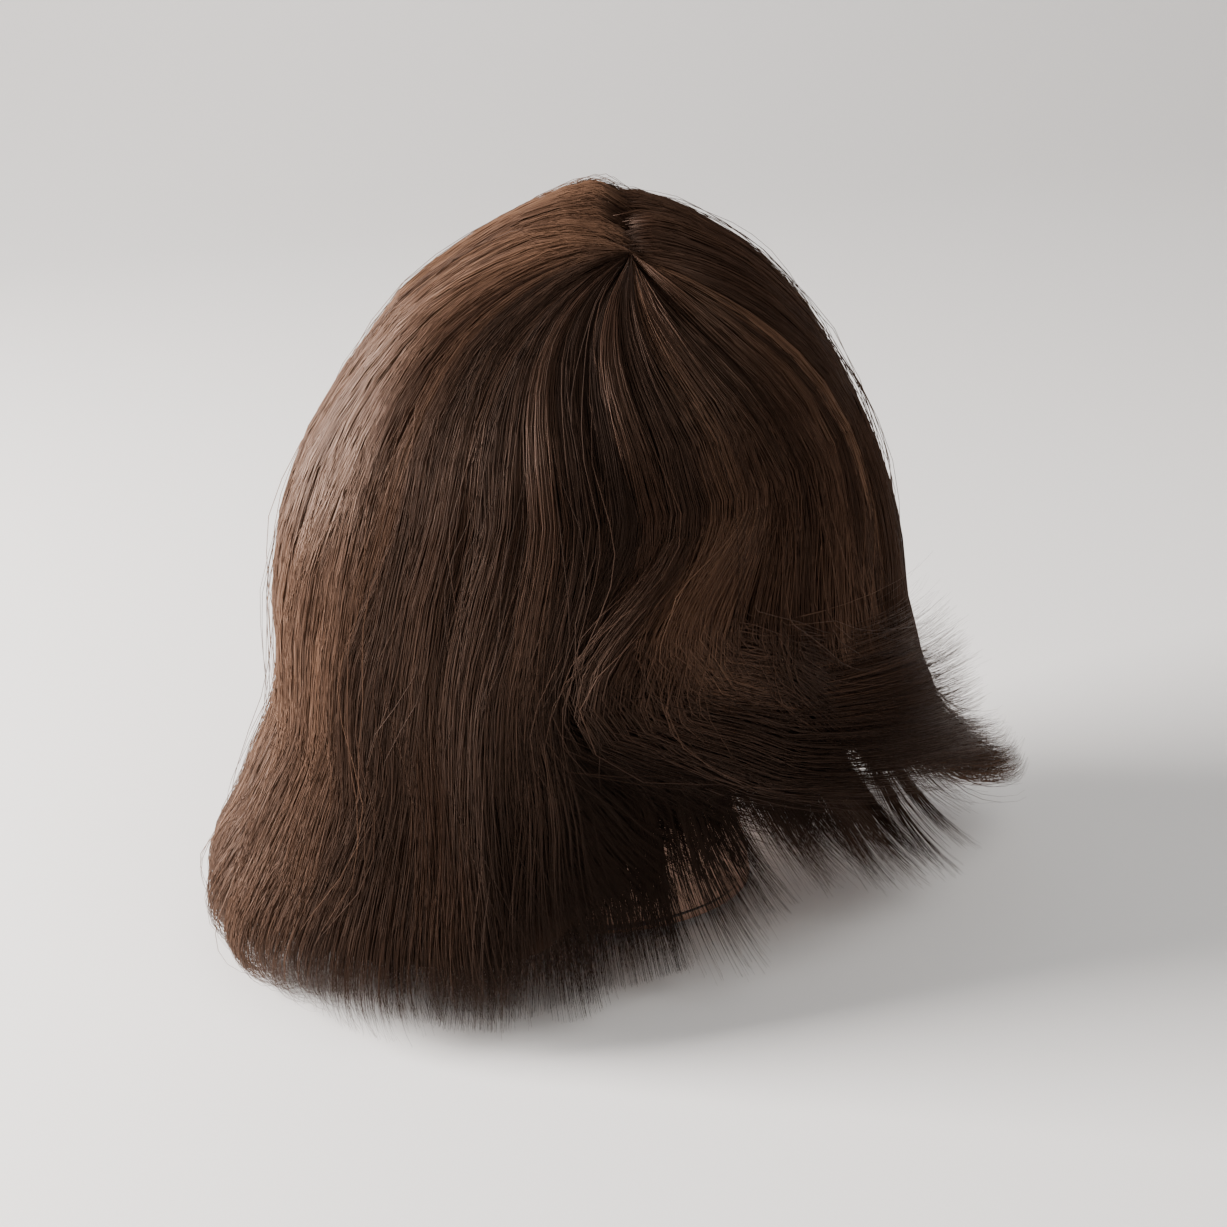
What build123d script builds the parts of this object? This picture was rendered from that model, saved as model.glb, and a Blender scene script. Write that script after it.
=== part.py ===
"""Mannequin training head: a vinyl head with rooted hair on a foam core, with a socket for a table clamp.

Frame: the origin is the centre of the socket's mouth on the base plane, +Z is up, the face looks
along -Y and the head's own left side is +X. All sizes are in millimetres.
"""
from build123d import *
import math
import os

# ---- head ------------------------------------------------------------------------------------
head_width = 152.0          # over the temples, without hair
head_depth = 186.0          # forehead to the back of the skull
head_height = 202.0         # chin to the top of the scalp
neck_height = 42.0          # base plane to the chin
neck_width = 100.0
neck_depth = 88.0
skull_setback = 10.0        # the skull's centre behind the neck's centre
neck_lean = 4.0             # the neck's outline is carried this far forward of the socket's axis
neck_swell = 3.0            # the throat under the chin stands out this far beyond the neck's foot
skin_wall = 3.5             # vinyl skin
root_coat = 1.2             # glue layer that holds the hair roots inside the scalp

# ---- eyes, lashes and brows ------------------------------------------------------------------
eye_radius = 12.0
eye_wall = 1.6
eye_spacing = 62.0          # between the two pupils
eye_level = 0.50            # share of the head's height, from the chin
eye_inset = 3.4             # the eyeball's front behind the bare face surface
eye_clearance = 0.2         # between an eyeball and its pocket
lid_width = 27.0
lid_height = 10.5
lash_length = 7.0
lash_height = 1.2
brow_width = 42.0
brow_height = 5.0
brow_thickness = 1.0
brow_rise = 18.0            # brow above the eye
brow_outset = 2.0           # a brow's middle outside the pupil
trim_gap = 0.25             # lashes and brows clear of the skin they are rooted in

# ---- ears, nose and mouth --------------------------------------------------------------------
ear_height = 54.0
ear_depth = 32.0
ear_reach = 11.0            # an ear's rim out from the side of the head
ear_thickness = 9.0
nose_width = 31.0
nose_length = 46.0
nose_reach = 17.0
nose_bridge = 10.0          # width of the bridge between the eyes
nose_drop = 6.0             # the nostrils' edge below the tip
nose_root = 4.0             # how far the nose is sunk into the face
mouth_width = 46.0
lip_height = 13.0
lip_reach = 4.0
lip_root = 2.0              # how far the lips are sunk into the face

# ---- base and socket -------------------------------------------------------------------------
socket_bore = 25.5          # takes the tip of a table clamp
socket_depth = 70.0
socket_wall = 3.0
socket_flange = 46.0        # diameter of the flange that rests in the base plate
flange_thickness = 2.0
plate_thickness = 4.0
plate_stand = 0.5           # the plate stands this far out below the skin's edge
plate_clearance = 0.25      # base plate inside the neck skin
sleeve_clearance = 0.2      # socket sleeve inside the base plate

# ---- hair ------------------------------------------------------------------------------------
hair_on_top = 18.0          # loft of the hair above the scalp
hair_at_side = 33.0         # loft of the hair beside the widest part of the head
hair_at_back = 23.0
hair_flare = 29.0           # how far the turned-out ends stand beyond the loft at the side
hair_layer = 17.0           # thickness of the hanging outer layer
hair_lean = 8.0             # the highest tuft stands this far towards the head's right
root_gap = 0.4              # hair clear of the scalp
section_gap = 0.5           # between neighbouring sections of hair
nape_layer = 14.0
fringe_loft = 4.0           # hair in front of the forehead
fringe_layer = 12.0
ends_level = {              # height of the hair ends above the base plane
    "hair_back_left": 4.0,
    "hair_back_centre": 8.0,
    "hair_back_right": 40.0,
    "hair_side_left": 8.0,
    "hair_side_right": 22.0,
    "hair_nape": 12.0,
}

skull_level = 0.63          # the head is widest here, as a share of its height
outline_points = 12
below_base = -1.0           # outlines start under the base plane and are cut off level
reach = 2 * (head_width + head_depth)      # longer than anything here, for cutting blocks
on_floor = (Align.CENTER, Align.CENTER, Align.MIN)


def height(share):
    """Height above the base plane of a share of the head's height, counted from the chin."""
    return neck_height + share * head_height


def oval(z, half_width, front, back, shift=0.0):
    """Closed egg-shaped outline at height z, from y = -front to y = +back."""
    points = []
    for step in range(outline_points):
        turn = 2 * math.pi * step / outline_points
        depth = back if math.sin(turn) > 0 else front
        points.append((shift + half_width * math.cos(turn), depth * math.sin(turn), z))
    return make_face(Spline(*points, periodic=True))


def stack(rows):
    """Smooth solid through a stack of outlines."""
    return loft([oval(*row) for row in rows])


# ---- the bare head: height share, half width, front and back as shares of the skull ------------
skull_rows = [
    (0.03, 0.68, 0.82, 0.36),
    (0.10, 0.72, 0.88, 0.44),
    (0.20, 0.79, 0.91, 0.58),
    (0.34, 0.88, 0.92, 0.78),
    (0.50, 0.95, 0.93, 0.95),
    (skull_level, 1.00, 0.95, 1.00),
    (0.78, 0.93, 0.87, 0.94),
    (0.88, 0.77, 0.68, 0.78),
    (0.95, 0.53, 0.44, 0.54),
    (0.985, 0.30, 0.23, 0.31),
    (1.00, 0.08, 0.06, 0.08),
]


def bare_head(grow):
    """The smooth head and neck without features, grown (or shrunk) by an even amount.

    It starts below the base plane, so that whatever is made from it is cut off level.
    """
    half_width = head_width / 2
    front_reach = head_depth / 2 - skull_setback / 2
    back_reach = head_depth / 2 + skull_setback / 2
    dome = height(1.0) - height(skull_level)
    neck_front = neck_depth / 2 + neck_lean
    neck_back = neck_depth / 2 - neck_lean
    rows = [
        (below_base, neck_width / 2 + grow, neck_front + grow, neck_back + grow),
        (0.65 * neck_height, neck_width / 2 + grow, neck_front + neck_swell + grow, neck_back + grow),
    ]
    for share, width, front, back in skull_rows:
        if share <= skull_level:
            rows.append((height(share), width * half_width + grow, front * front_reach + grow,
                         back * back_reach + grow))
        else:
            up = height(skull_level) + (height(share) - height(skull_level)) * (dome + grow) / dome
            rows.append((up, width * (half_width + grow), front * (front_reach + grow),
                         back * (back_reach + grow)))
    return stack(rows)


def front_at(share, x):
    """y of the bare face's surface at a height share and a distance from the middle."""
    below = max(row for row in skull_rows if row[0] <= share)
    above = min(row for row in skull_rows if row[0] >= share)
    span = above[0] - below[0]
    mix = (share - below[0]) / span if span else 0.0
    half = (below[1] + mix * (above[1] - below[1])) * head_width / 2
    front = (below[2] + mix * (above[2] - below[2])) * (head_depth - skull_setback) / 2
    return -front * math.sqrt(max(0.0, 1 - (x / half) ** 2))


def biggest(shape):
    return shape.solids().sort_by(SortBy.VOLUME)[-1]


def ball(rx, ry, rz):
    """Ellipsoid about the origin."""
    return scale(Sphere(1.0), by=(rx, ry, rz))


def rooted_half():
    """Everything above the slanting hairline, from the forehead down to the nape."""
    tilt = math.degrees(math.atan2(0.60 * head_height, 0.80 * head_depth))
    return Pos(0, 0, height(0.47)) * Rot(-tilt, 0, 0) * Box(reach, reach, reach, align=on_floor)


# ---- eyes --------------------------------------------------------------------------------------
def eye_centre(side):
    x = side * eye_spacing / 2
    return (x, front_at(eye_level, x) + eye_inset + eye_radius, height(eye_level))


def eyeball(side):
    """Acrylic half shell, set into its pocket from behind the lids."""
    shell = Sphere(eye_radius) - Sphere(eye_radius - eye_wall)
    front_half = Box(reach, reach, reach, align=(Align.CENTER, Align.MAX, Align.CENTER))
    return Pos(*eye_centre(side)) * (shell & front_half)


def eye_pocket(side):
    """Room for the eyeball and the almond opening between the lids."""
    x, y, z = eye_centre(side)
    socket = Pos(x, y, z) * Rot(90, 0, 0) * Sphere(eye_radius + eye_clearance)
    left = (-lid_width / 2, 0)
    right = (lid_width / 2, 0)
    upper = ThreePointArc(left, (0, 0.55 * lid_height), right)
    lower = ThreePointArc(right, (0, -0.45 * lid_height), left)
    almond = Plane.XZ * make_face(upper + lower)
    return socket + Pos(x, y, z) * extrude(almond, amount=2 * eye_radius)


def pad_on_skin(outline, x, z, thickness):
    """The stretch of an even layer over the skin that lies inside an outline seen from the front."""
    stamp = Pos(x, 0, z) * extrude(Plane.XZ * make_face(outline), amount=head_depth)
    return biggest((stamp & bare_head(trim_gap + thickness)) - bare_head(trim_gap))


def crescent(width, ends, under, top):
    """Arched band between two pointed ends; the three heights are counted from the middle line."""
    left = (-width / 2, ends)
    right = (width / 2, ends)
    return ThreePointArc(left, (0, top), right) + ThreePointArc(right, (0, under), left)


def lashes(side):
    """Fan of lashes along the upper lid."""
    x, y, z = eye_centre(side)
    lid = 0.55 * lid_height
    return pad_on_skin(crescent(lid_width, 0.0, lid, lid + lash_height), x, z, lash_length)


def brow(side):
    """Thin arched pad of implanted brow hair, just clear of the skin."""
    x = side * (eye_spacing / 2 + brow_outset)
    z = height(eye_level) + brow_rise
    outline = crescent(brow_width, -0.5 * brow_height, -0.1 * brow_height, 0.9 * brow_height)
    return pad_on_skin(outline, x, z, brow_thickness)


# ---- skin --------------------------------------------------------------------------------------
def ear(side):
    """Plain ear, a flattened oval standing off the side of the head."""
    top = height(0.54)
    x = side * (0.90 * head_width / 2 + ear_reach / 2)
    shape = ball((ear_reach + ear_thickness) / 2, ear_depth / 2, ear_height / 2)
    facing = 90 - 90 * side
    return Pos(x, skull_setback, top - ear_height / 2) * Rot(0, 0, facing) * shape


def nose(shrink=0.0):
    """Ridge that widens from the bridge to the tip; shrunk, it is the hollow behind the vinyl."""
    bridge_z = height(eye_level) - shrink
    tip_z = bridge_z - 0.82 * nose_length + shrink
    foot_z = tip_z - nose_drop
    bridge = Pos(0, front_at(0.45, 0) + nose_root, bridge_z) * Circle(nose_bridge / 2 - shrink)
    tip = Ellipse(nose_width / 2 - shrink, nose_reach - shrink)
    foot = Ellipse(nose_width / 3 - shrink, nose_reach / 2 - shrink)
    placed_tip = Pos(0, front_at(0.35, 0) + nose_root / 2, tip_z) * tip
    placed_foot = Pos(0, front_at(0.32, 0) + nose_root, foot_z) * foot
    return loft([placed_foot, placed_tip, bridge])


def lips():
    level = 0.19
    place = Pos(0, front_at(level, 0) + lip_root, height(level))
    return place * ball(mouth_width / 2, lip_reach + lip_root, lip_height / 2)


def skin():
    """Vinyl skin of the face, ears, scalp and neck, open at the bottom of the neck."""
    outside = bare_head(0.0) + ear(-1) + ear(1) + nose() + lips()
    shell = outside - bare_head(-skin_wall) - nose(skin_wall) - eye_pocket(-1) - eye_pocket(1)
    return biggest(shell & Pos(0, 0, plate_stand) * Box(reach, reach, reach, align=on_floor))


# ---- filling and socket ------------------------------------------------------------------------
def coat():
    """Glue layer over the inside of the rooted part of the scalp."""
    layer = bare_head(-skin_wall) - bare_head(-skin_wall - root_coat)
    return biggest(layer & rooted_half())


def socket_sleeve():
    """Blind plastic tube with a flange flush with the base plane."""
    tube = Cylinder(socket_bore / 2 + socket_wall, socket_depth + socket_wall, align=on_floor)
    flange = Cylinder(socket_flange / 2, flange_thickness, align=on_floor)
    return tube + flange - Cylinder(socket_bore / 2, socket_depth, align=on_floor)


def sleeve_room():
    """The sleeve's outside with its clearance, cut from the base plate."""
    tube = Cylinder(socket_bore / 2 + socket_wall + sleeve_clearance, plate_thickness, align=on_floor)
    return tube + Cylinder(socket_flange / 2 + sleeve_clearance, flange_thickness, align=on_floor)


def base_plate():
    """Moulded plate that closes the neck and carries the socket sleeve."""
    slab = Box(reach, reach, plate_thickness, align=on_floor)
    return (bare_head(-skin_wall - plate_clearance) & slab) - sleeve_room()


def foam():
    """Rigid foam that fills the head around the sleeve."""
    above_plate = Pos(0, 0, plate_thickness) * Box(reach, reach, reach, align=on_floor)
    rooted = rooted_half()
    under_scalp = bare_head(-skin_wall - root_coat) & rooted
    under_face = bare_head(-skin_wall) - rooted + nose(skin_wall) - eye_pocket(-1) - eye_pocket(1)
    tube = Cylinder(socket_bore / 2 + socket_wall, socket_depth + socket_wall, align=on_floor)
    return ((under_scalp + under_face) & above_plate) - tube


# ---- hair --------------------------------------------------------------------------------------
hair_top = height(1.0) + hair_on_top
side_reach = head_width / 2 + hair_at_side
back_reach = head_depth / 2 + skull_setback / 2 + hair_at_back
fringe_reach = head_depth / 2 - skull_setback / 2 + fringe_loft

# share of the hair's height, half width, front and back as shares of the loft, share of the flare
# of the ends and share of the lean
mane_rows = [
    (0.000, 1.00, 0.96, 1.00, 1.0, 0.0),
    (0.055, 1.03, 1.00, 1.02, 1.0, 0.0),
    (0.145, 1.06, 1.00, 1.02, 0.9, 0.0),
    (0.235, 1.07, 0.96, 0.99, 0.3, 0.0),
    (0.325, 1.08, 0.94, 0.98, 0.1, 0.0),
    (0.415, 1.08, 0.95, 0.98, 0.0, 0.0),
    (0.505, 1.055, 0.98, 0.99, 0.0, 0.0),
    (0.595, 1.00, 1.00, 1.00, 0.0, 0.0),
    (0.685, 0.925, 1.02, 0.98, 0.0, 0.1),
    (0.775, 0.820, 0.98, 0.91, 0.0, 0.3),
    (0.860, 0.665, 0.82, 0.745, 0.0, 0.6),
    (0.950, 0.415, 0.49, 0.46, 0.0, 0.9),
    (0.985, 0.230, 0.25, 0.25, 0.0, 1.0),
    (1.000, 0.050, 0.05, 0.05, 0.0, 1.0),
]


def mane():
    """Outer surface of the whole head of hair, with its turned-out ends."""
    rows = []
    for share, width, front, back, flare, lean in mane_rows:
        rows.append((share * hair_top, width * side_reach + flare * hair_flare, front * fringe_reach,
                     back * back_reach + 0.3 * flare * hair_flare, -lean * hair_lean))
    return stack(rows)


def hollow(shrink=0.0):
    """The space under the hanging layer: neck, ears and the air around them."""
    inside = side_reach - hair_layer - shrink
    front = fringe_reach - fringe_layer - shrink
    back = back_reach - hair_layer - shrink
    rows = [
        (below_base, inside + 0.9 * hair_flare, front, back + 0.2 * hair_flare),
        (0.145 * hair_top, inside + 0.8 * hair_flare, front, back + 0.1 * hair_flare),
        (0.235 * hair_top, inside + 0.4 * hair_flare, front, back),
        (0.415 * hair_top, inside + 0.1 * hair_flare, front, back),
        (0.560 * hair_top, inside, front, back),
        (0.610 * hair_top, 0.93 * inside, 0.95 * front, 0.93 * back),
        (0.650 * hair_top, 0.70 * inside, 0.80 * front, 0.80 * back),
    ]
    return stack(rows)


def face_opening():
    """Arched opening in the hair in front of the face."""
    foot = 0.40 * head_width
    left = [
        (-foot, below_base),
        (-foot, height(0.30)),
        (-0.92 * foot, height(0.58)),
        (-0.62 * foot, height(0.78)),
    ]
    crest = (0, height(0.86))
    right = [(-x, z) for x, z in reversed(left)]
    arch = Spline(*left[1:], crest, *right[:-1])
    jambs = Line(left[0], left[1]) + Line(right[-2], right[-1]) + Line(right[-1], left[0])
    return extrude(Plane.XZ.offset(0.25 * head_depth) * make_face(arch + jambs), amount=reach)


def wedge(start, end, bottom, top):
    """Upright wedge between two bearings, counted in degrees from the back towards the left."""
    middle = math.radians((start + end) / 2)
    half = math.radians((end - start) / 2)
    back_off = section_gap / 2 / math.sin(half)
    corners = [(back_off * math.sin(middle), back_off * math.cos(middle))]
    for part in range(5):
        bearing = math.radians(start + (end - start) * part / 4)
        corners.append((reach * math.sin(bearing), reach * math.cos(bearing)))
    outline = make_face(Polyline(*corners, close=True))
    return Pos(0, 0, bottom) * extrude(outline, amount=top - bottom)


def hair_sections():
    """The sections in which the hair is rooted and hangs, each as one closed solid."""
    hair = mane() - bare_head(root_gap) - hollow() - face_opening()
    top_level = height(0.80)
    hanging = {
        "hair_back_centre": (-23, 23),
        "hair_back_left": (23, 75),
        "hair_side_left": (75, 165),
        "hair_back_right": (-75, -23),
        "hair_side_right": (-165, -75),
    }
    crown = {
        "hair_crown": (-90, 90),
        "hair_top_left": (90, 180),
        "hair_top_right": (180, 270),
    }
    sections = {}
    for name, (start, end) in hanging.items():
        sections[name] = biggest(hair & wedge(start, end, ends_level[name], top_level - section_gap / 2))
    for name, (start, end) in crown.items():
        sections[name] = biggest(hair & wedge(start, end, top_level + section_gap / 2, hair_top + 1.0))
    under = hollow(shrink=section_gap) - hollow(shrink=section_gap + nape_layer) - bare_head(root_gap)
    sections["hair_nape"] = biggest(under & wedge(-55, 55, ends_level["hair_nape"], height(0.30)))
    return sections


# ---- build and write ---------------------------------------------------------------------------
parts = {
    "head_skin": skin(),
    "root_coat": coat(),
    "foam_core": foam(),
    "socket_sleeve": socket_sleeve(),
    "base_plate": base_plate(),
    "eye_left": eyeball(1),
    "eye_right": eyeball(-1),
    "lashes_left": lashes(1),
    "lashes_right": lashes(-1),
    "brow_left": brow(1),
    "brow_right": brow(-1),
}
parts.update(hair_sections())

os.makedirs("parts", exist_ok=True)
for name, shape in parts.items():
    shape.label = name
    export_step(shape, f"parts/{name}.step")
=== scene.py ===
"""Looks of a mannequin training head: vinyl face, acrylic eyes and a full head of rooted hair."""

import math

import bpy
import numpy as np
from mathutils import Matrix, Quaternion, Vector


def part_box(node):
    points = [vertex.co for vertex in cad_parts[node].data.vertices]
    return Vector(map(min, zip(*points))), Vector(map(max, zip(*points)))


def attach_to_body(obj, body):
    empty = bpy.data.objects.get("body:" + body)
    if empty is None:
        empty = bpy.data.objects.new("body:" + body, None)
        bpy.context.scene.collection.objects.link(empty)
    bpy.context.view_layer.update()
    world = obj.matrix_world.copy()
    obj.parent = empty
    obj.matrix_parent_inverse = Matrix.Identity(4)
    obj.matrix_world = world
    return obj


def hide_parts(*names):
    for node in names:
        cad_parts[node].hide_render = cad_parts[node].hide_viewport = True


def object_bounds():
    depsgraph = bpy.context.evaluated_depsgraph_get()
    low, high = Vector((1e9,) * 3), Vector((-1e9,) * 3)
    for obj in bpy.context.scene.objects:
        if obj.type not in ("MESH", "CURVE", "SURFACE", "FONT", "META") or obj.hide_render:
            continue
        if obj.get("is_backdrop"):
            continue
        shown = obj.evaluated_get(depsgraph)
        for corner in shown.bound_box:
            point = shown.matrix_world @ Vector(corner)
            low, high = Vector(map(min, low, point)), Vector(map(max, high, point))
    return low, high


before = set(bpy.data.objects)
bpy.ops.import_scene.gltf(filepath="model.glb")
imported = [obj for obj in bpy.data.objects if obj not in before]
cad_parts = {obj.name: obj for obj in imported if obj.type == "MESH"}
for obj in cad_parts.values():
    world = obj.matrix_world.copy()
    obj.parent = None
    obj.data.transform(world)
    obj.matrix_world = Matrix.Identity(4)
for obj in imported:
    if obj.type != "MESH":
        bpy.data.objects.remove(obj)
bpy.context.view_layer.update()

MM = 0.001


# ---- Socket sleeve and base plate ----------------------------------------------------------------
# The sleeve is a blind tube that takes the peg of a table clamp; the plate closes the neck round
# it. Both are moulded in dark grey plastic with a fine spark texture.

def node_material(name):
    """New material with its tree, shader and an adder of nodes."""
    material = bpy.data.materials.new(name)
    material.use_nodes = True
    tree = material.node_tree
    shader = tree.nodes["Principled BSDF"]

    def add(kind, links=(), **values):
        node = tree.nodes.new(kind)
        for key, value in values.items():
            setattr(node, key, value)
        for source, target in links:
            tree.links.new(source, node.inputs[target])
        return node

    return material, tree, shader, add


def colour_ramp(add, factor, stops):
    """Colour that follows a factor through stops of place and colour."""
    ramp = add("ShaderNodeValToRGB", [(factor, "Fac")])
    elements = ramp.color_ramp.elements
    while len(elements) < len(stops):
        elements.new(0.5)
    for element, (place, colour) in zip(elements, stops):
        element.position = place
        element.color = (*colour, 1)
    return ramp.outputs["Color"]


def moulded_plastic(name, dark, light, roughness, grain):
    """Mottled plastic between two shades, with a fine grain."""
    material, tree, shader, add = node_material(name)
    where = add("ShaderNodeTexCoord").outputs["Object"]
    mottle = add("ShaderNodeTexNoise", [(where, "Vector")])
    mottle.inputs["Scale"].default_value = 40
    tree.links.new(colour_ramp(add, mottle.outputs["Fac"], [(0.3, dark), (0.7, light)]),
                   shader.inputs["Base Color"])
    spark = add("ShaderNodeTexNoise", [(where, "Vector")])
    spark.inputs["Scale"].default_value = grain
    bump = add("ShaderNodeBump", [(spark.outputs["Fac"], "Height")])
    bump.inputs["Strength"].default_value = 0.25
    bump.inputs["Distance"].default_value = 0.1 * MM
    tree.links.new(bump.outputs["Normal"], shader.inputs["Normal"])
    shader.inputs["Roughness"].default_value = roughness
    return material


def dress(node, material):
    """Give a carried-over solid its material."""
    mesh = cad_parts[node].data
    mesh.materials.clear()
    mesh.materials.append(material)


grey_plastic = moulded_plastic("grey_moulded_plastic", (0.035, 0.036, 0.040), (0.055, 0.056, 0.060),
                               0.5, 3000)
dress("socket_sleeve", grey_plastic)
dress("base_plate", grey_plastic)


# ---- Foam core and root coat ---------------------------------------------------------------------
# The head is filled with rigid polyurethane foam, poured in through the neck. A rubbery glue layer
# under the scalp locks the roots. Both are out of sight inside the skin.

chin, head_tall, widest = 42.0, 202.0, 0.63
half_head, front_head, back_head = 76.0, 88.0, 98.0
eye_x, eye_y, eye_z, eye_r = 31.0, -58.5, 143.0, 12.0

# height, half width, front and back of the smooth head and neck
head_rows = np.array([(-1, 50, 48, 40), (12, 49, 48, 40), (30, 46.5, 49, 39), (39, 47.5, 57, 37)] + [
    (chin + share * head_tall, width * half_head, front * front_head, back * back_head)
    for share, width, front, back in (
        (0.03, 0.68, 0.82, 0.36), (0.10, 0.72, 0.88, 0.44), (0.20, 0.79, 0.91, 0.58),
        (0.34, 0.88, 0.92, 0.78), (0.50, 0.95, 0.93, 0.95), (widest, 1.00, 0.95, 1.00),
        (0.78, 0.93, 0.87, 0.94), (0.88, 0.77, 0.68, 0.78), (0.95, 0.53, 0.44, 0.54),
        (0.985, 0.30, 0.23, 0.31), (1.00, 0.04, 0.03, 0.04))])


def head_reach(z, column):
    """Reach of the smooth head at a height, read off the rows with a smooth curve."""
    rows, value = head_rows[:, 0], head_rows[:, column] ** 2
    slope = np.gradient(value, rows)
    k = np.clip(np.searchsorted(rows, z) - 1, 0, len(rows) - 2)
    span = rows[k + 1] - rows[k]
    t = np.clip((z - rows[k]) / span, 0, 1)
    curve = ((2 * t ** 3 - 3 * t ** 2 + 1) * value[k] + (t ** 3 - 2 * t ** 2 + t) * span * slope[k]
             + (3 * t ** 2 - 2 * t ** 3) * value[k + 1] + (t ** 3 - t ** 2) * span * slope[k + 1])
    return np.sqrt(np.maximum(curve, 1.0))


def bump(x, z, at_x, at_z, wide, tall):
    """Soft round spot of height 1, the same on both sides of the face."""
    return np.exp(-((np.abs(x) - at_x) / wide) ** 2 - ((z - at_z) / tall) ** 2)


def closer(low, high, steps, marks):
    """Stations from low to high, set closer together between the two marks."""
    fine = np.linspace(marks[0], marks[1], int(steps * 0.68))
    before = np.linspace(low, marks[0], int(steps * 0.16), endpoint=False)
    after = np.linspace(marks[1], high, int(steps * 0.16) + 1)[1:]
    return np.concatenate([before, fine, after])


def fine_mesh(name, verts, quads, triangles, tone):
    """Smooth mesh object from arrays, with a tone at each point for the material to read."""
    mesh = bpy.data.meshes.new(name)
    mesh.vertices.add(len(verts))
    mesh.vertices.foreach_set("co", verts.astype(np.float32).ravel())
    corners = np.concatenate([quads.ravel(), triangles.ravel()]).astype(np.int32)
    mesh.loops.add(len(corners))
    mesh.loops.foreach_set("vertex_index", corners)
    sizes = np.concatenate([np.full(len(quads), 4), np.full(len(triangles), 3)])
    mesh.polygons.add(len(sizes))
    mesh.polygons.foreach_set("loop_start", (np.cumsum(sizes) - sizes).astype(np.int32))
    mesh.polygons.foreach_set("use_smooth", np.ones(len(sizes), bool))
    mesh.attributes.new("tone", "FLOAT", "POINT").data.foreach_set("value", tone.astype(np.float32))
    mesh.update(calc_edges=True)
    mesh.validate()
    piece = bpy.data.objects.new(name, mesh)
    bpy.context.collection.objects.link(piece)
    return piece


def sheet_quads(rows, columns):
    """Faces of a sheet whose columns close into a ring."""
    index = np.arange(rows * columns).reshape(rows, columns)
    beside = np.roll(index, -1, 1)
    return np.stack([index[:-1], beside[:-1], beside[1:], index[1:]], -1).reshape(-1, 4)


def attach(piece, material, nodes):
    """Give a piece its material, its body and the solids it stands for."""
    piece.data.materials.append(material)
    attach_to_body(piece, "root")
    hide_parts(*nodes)
    return piece


# bearings round the head, closer together over the face
turns = np.radians(closer(-270.0, 90.0, 300, (-135, -45)))
ring_x, ring_y = np.cos(turns[:-1]), np.sin(turns[:-1])
columns = len(ring_x)

foam_low, foam_high, dome_low = 4.5, 237.5, 190.0
side_gap, back_gap, face_gap, socket_gap = 8.0, 9.0, 6.0, 10.0
dome_share = np.sin(np.linspace(0.05, 1, 20) * np.pi / 2)
foam_z = np.concatenate([np.linspace(foam_low, dome_low, 40), dome_low + 47 * dome_share])
tuck = face_gap + socket_gap * bump(eye_x + 0 * foam_z, foam_z, eye_x, eye_z, 18, 18)
foam_x = (head_reach(foam_z, 1) - side_gap)[:, None] * ring_x
foam_front = (head_reach(foam_z, 2) - tuck)[:, None]
foam_back = (head_reach(foam_z, 3) - back_gap)[:, None]
foam_y = np.where(ring_y < 0, foam_front, foam_back) * ring_y
foam_verts = np.stack([foam_x, foam_y, 0 * foam_x + foam_z[:, None]], -1)
low_ring = np.arange(columns)
high_ring = low_ring + (len(foam_z) - 1) * columns
ends = np.array([[0, 0, foam_low], [0, 0, foam_high]])
fans = np.concatenate([
    np.stack([np.roll(low_ring, -1), low_ring, np.full(columns, foam_x.size)], -1),
    np.stack([high_ring, np.roll(high_ring, -1), np.full(columns, foam_x.size + 1)], -1)])
filling = fine_mesh("foam_filling", np.concatenate([foam_verts.reshape(-1, 3), ends]) * MM,
                    sheet_quads(len(foam_z), columns), fans, np.zeros(foam_x.size + 2))
rigid_foam = moulded_plastic("rigid_foam", (0.62, 0.52, 0.32), (0.72, 0.62, 0.42), 0.85, 900)
attach(filling, rigid_foam, ["foam_core"])
dress("root_coat", moulded_plastic("root_glue", (0.55, 0.47, 0.33), (0.62, 0.54, 0.40), 0.6, 500))


# ---- Head skin -----------------------------------------------------------------------------------
# One soft vinyl moulding of face, scalp and neck, about 3.5 mm thick, cast in a smooth steel mould
# and open at the neck. The face is a plain, calm one with closed lips, lightly sprayed.

wall = 3.5
lid_half, lid_up, lid_down = 12.6, 5.2, 3.9
lid_rim_radius = 1.05
lip_half = 24.5
both_sides = ((1, "left"), (-1, "right"))

# Soft mounds and hollows of the face: height, place across and up, width, height of the spot.
features = (
    (7.0, 11.5, 102.5, 4.6, 5.0),     # wings of the nose
    (-4.5, 5.6, 98, 2.6, 1.9),        # nostrils
    (2.4, 22, 163, 17, 8),            # brow ridges
    (-6.0, 29, 149, 16, 9),           # eye sockets
    (-3.0, 14, 145, 6, 9),            # inner corners of the eyes
    (3.0, 40, 112, 19, 17),           # cheekbones
    (3.5, 0, 80, 26, 15),             # mouth
    (5.0, 0, 54, 18, 11),             # chin
    (-2.4, 0, 67.5, 17, 4.5),         # fold over the chin
    (-1.1, 0, 91, 2.4, 5),            # groove under the nose
    (0.7, 4.2, 91, 2.0, 5),           # edges of the groove
    (-1.6, 24.5, 80, 2.6, 3.0),       # corners of the mouth
    (-1.0, 27, 93, 4, 12),            # folds beside the mouth
)


def mouth_line(ax):
    """Height of the line between the closed lips."""
    return 80.0 + 0.0035 * ax ** 2


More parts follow.
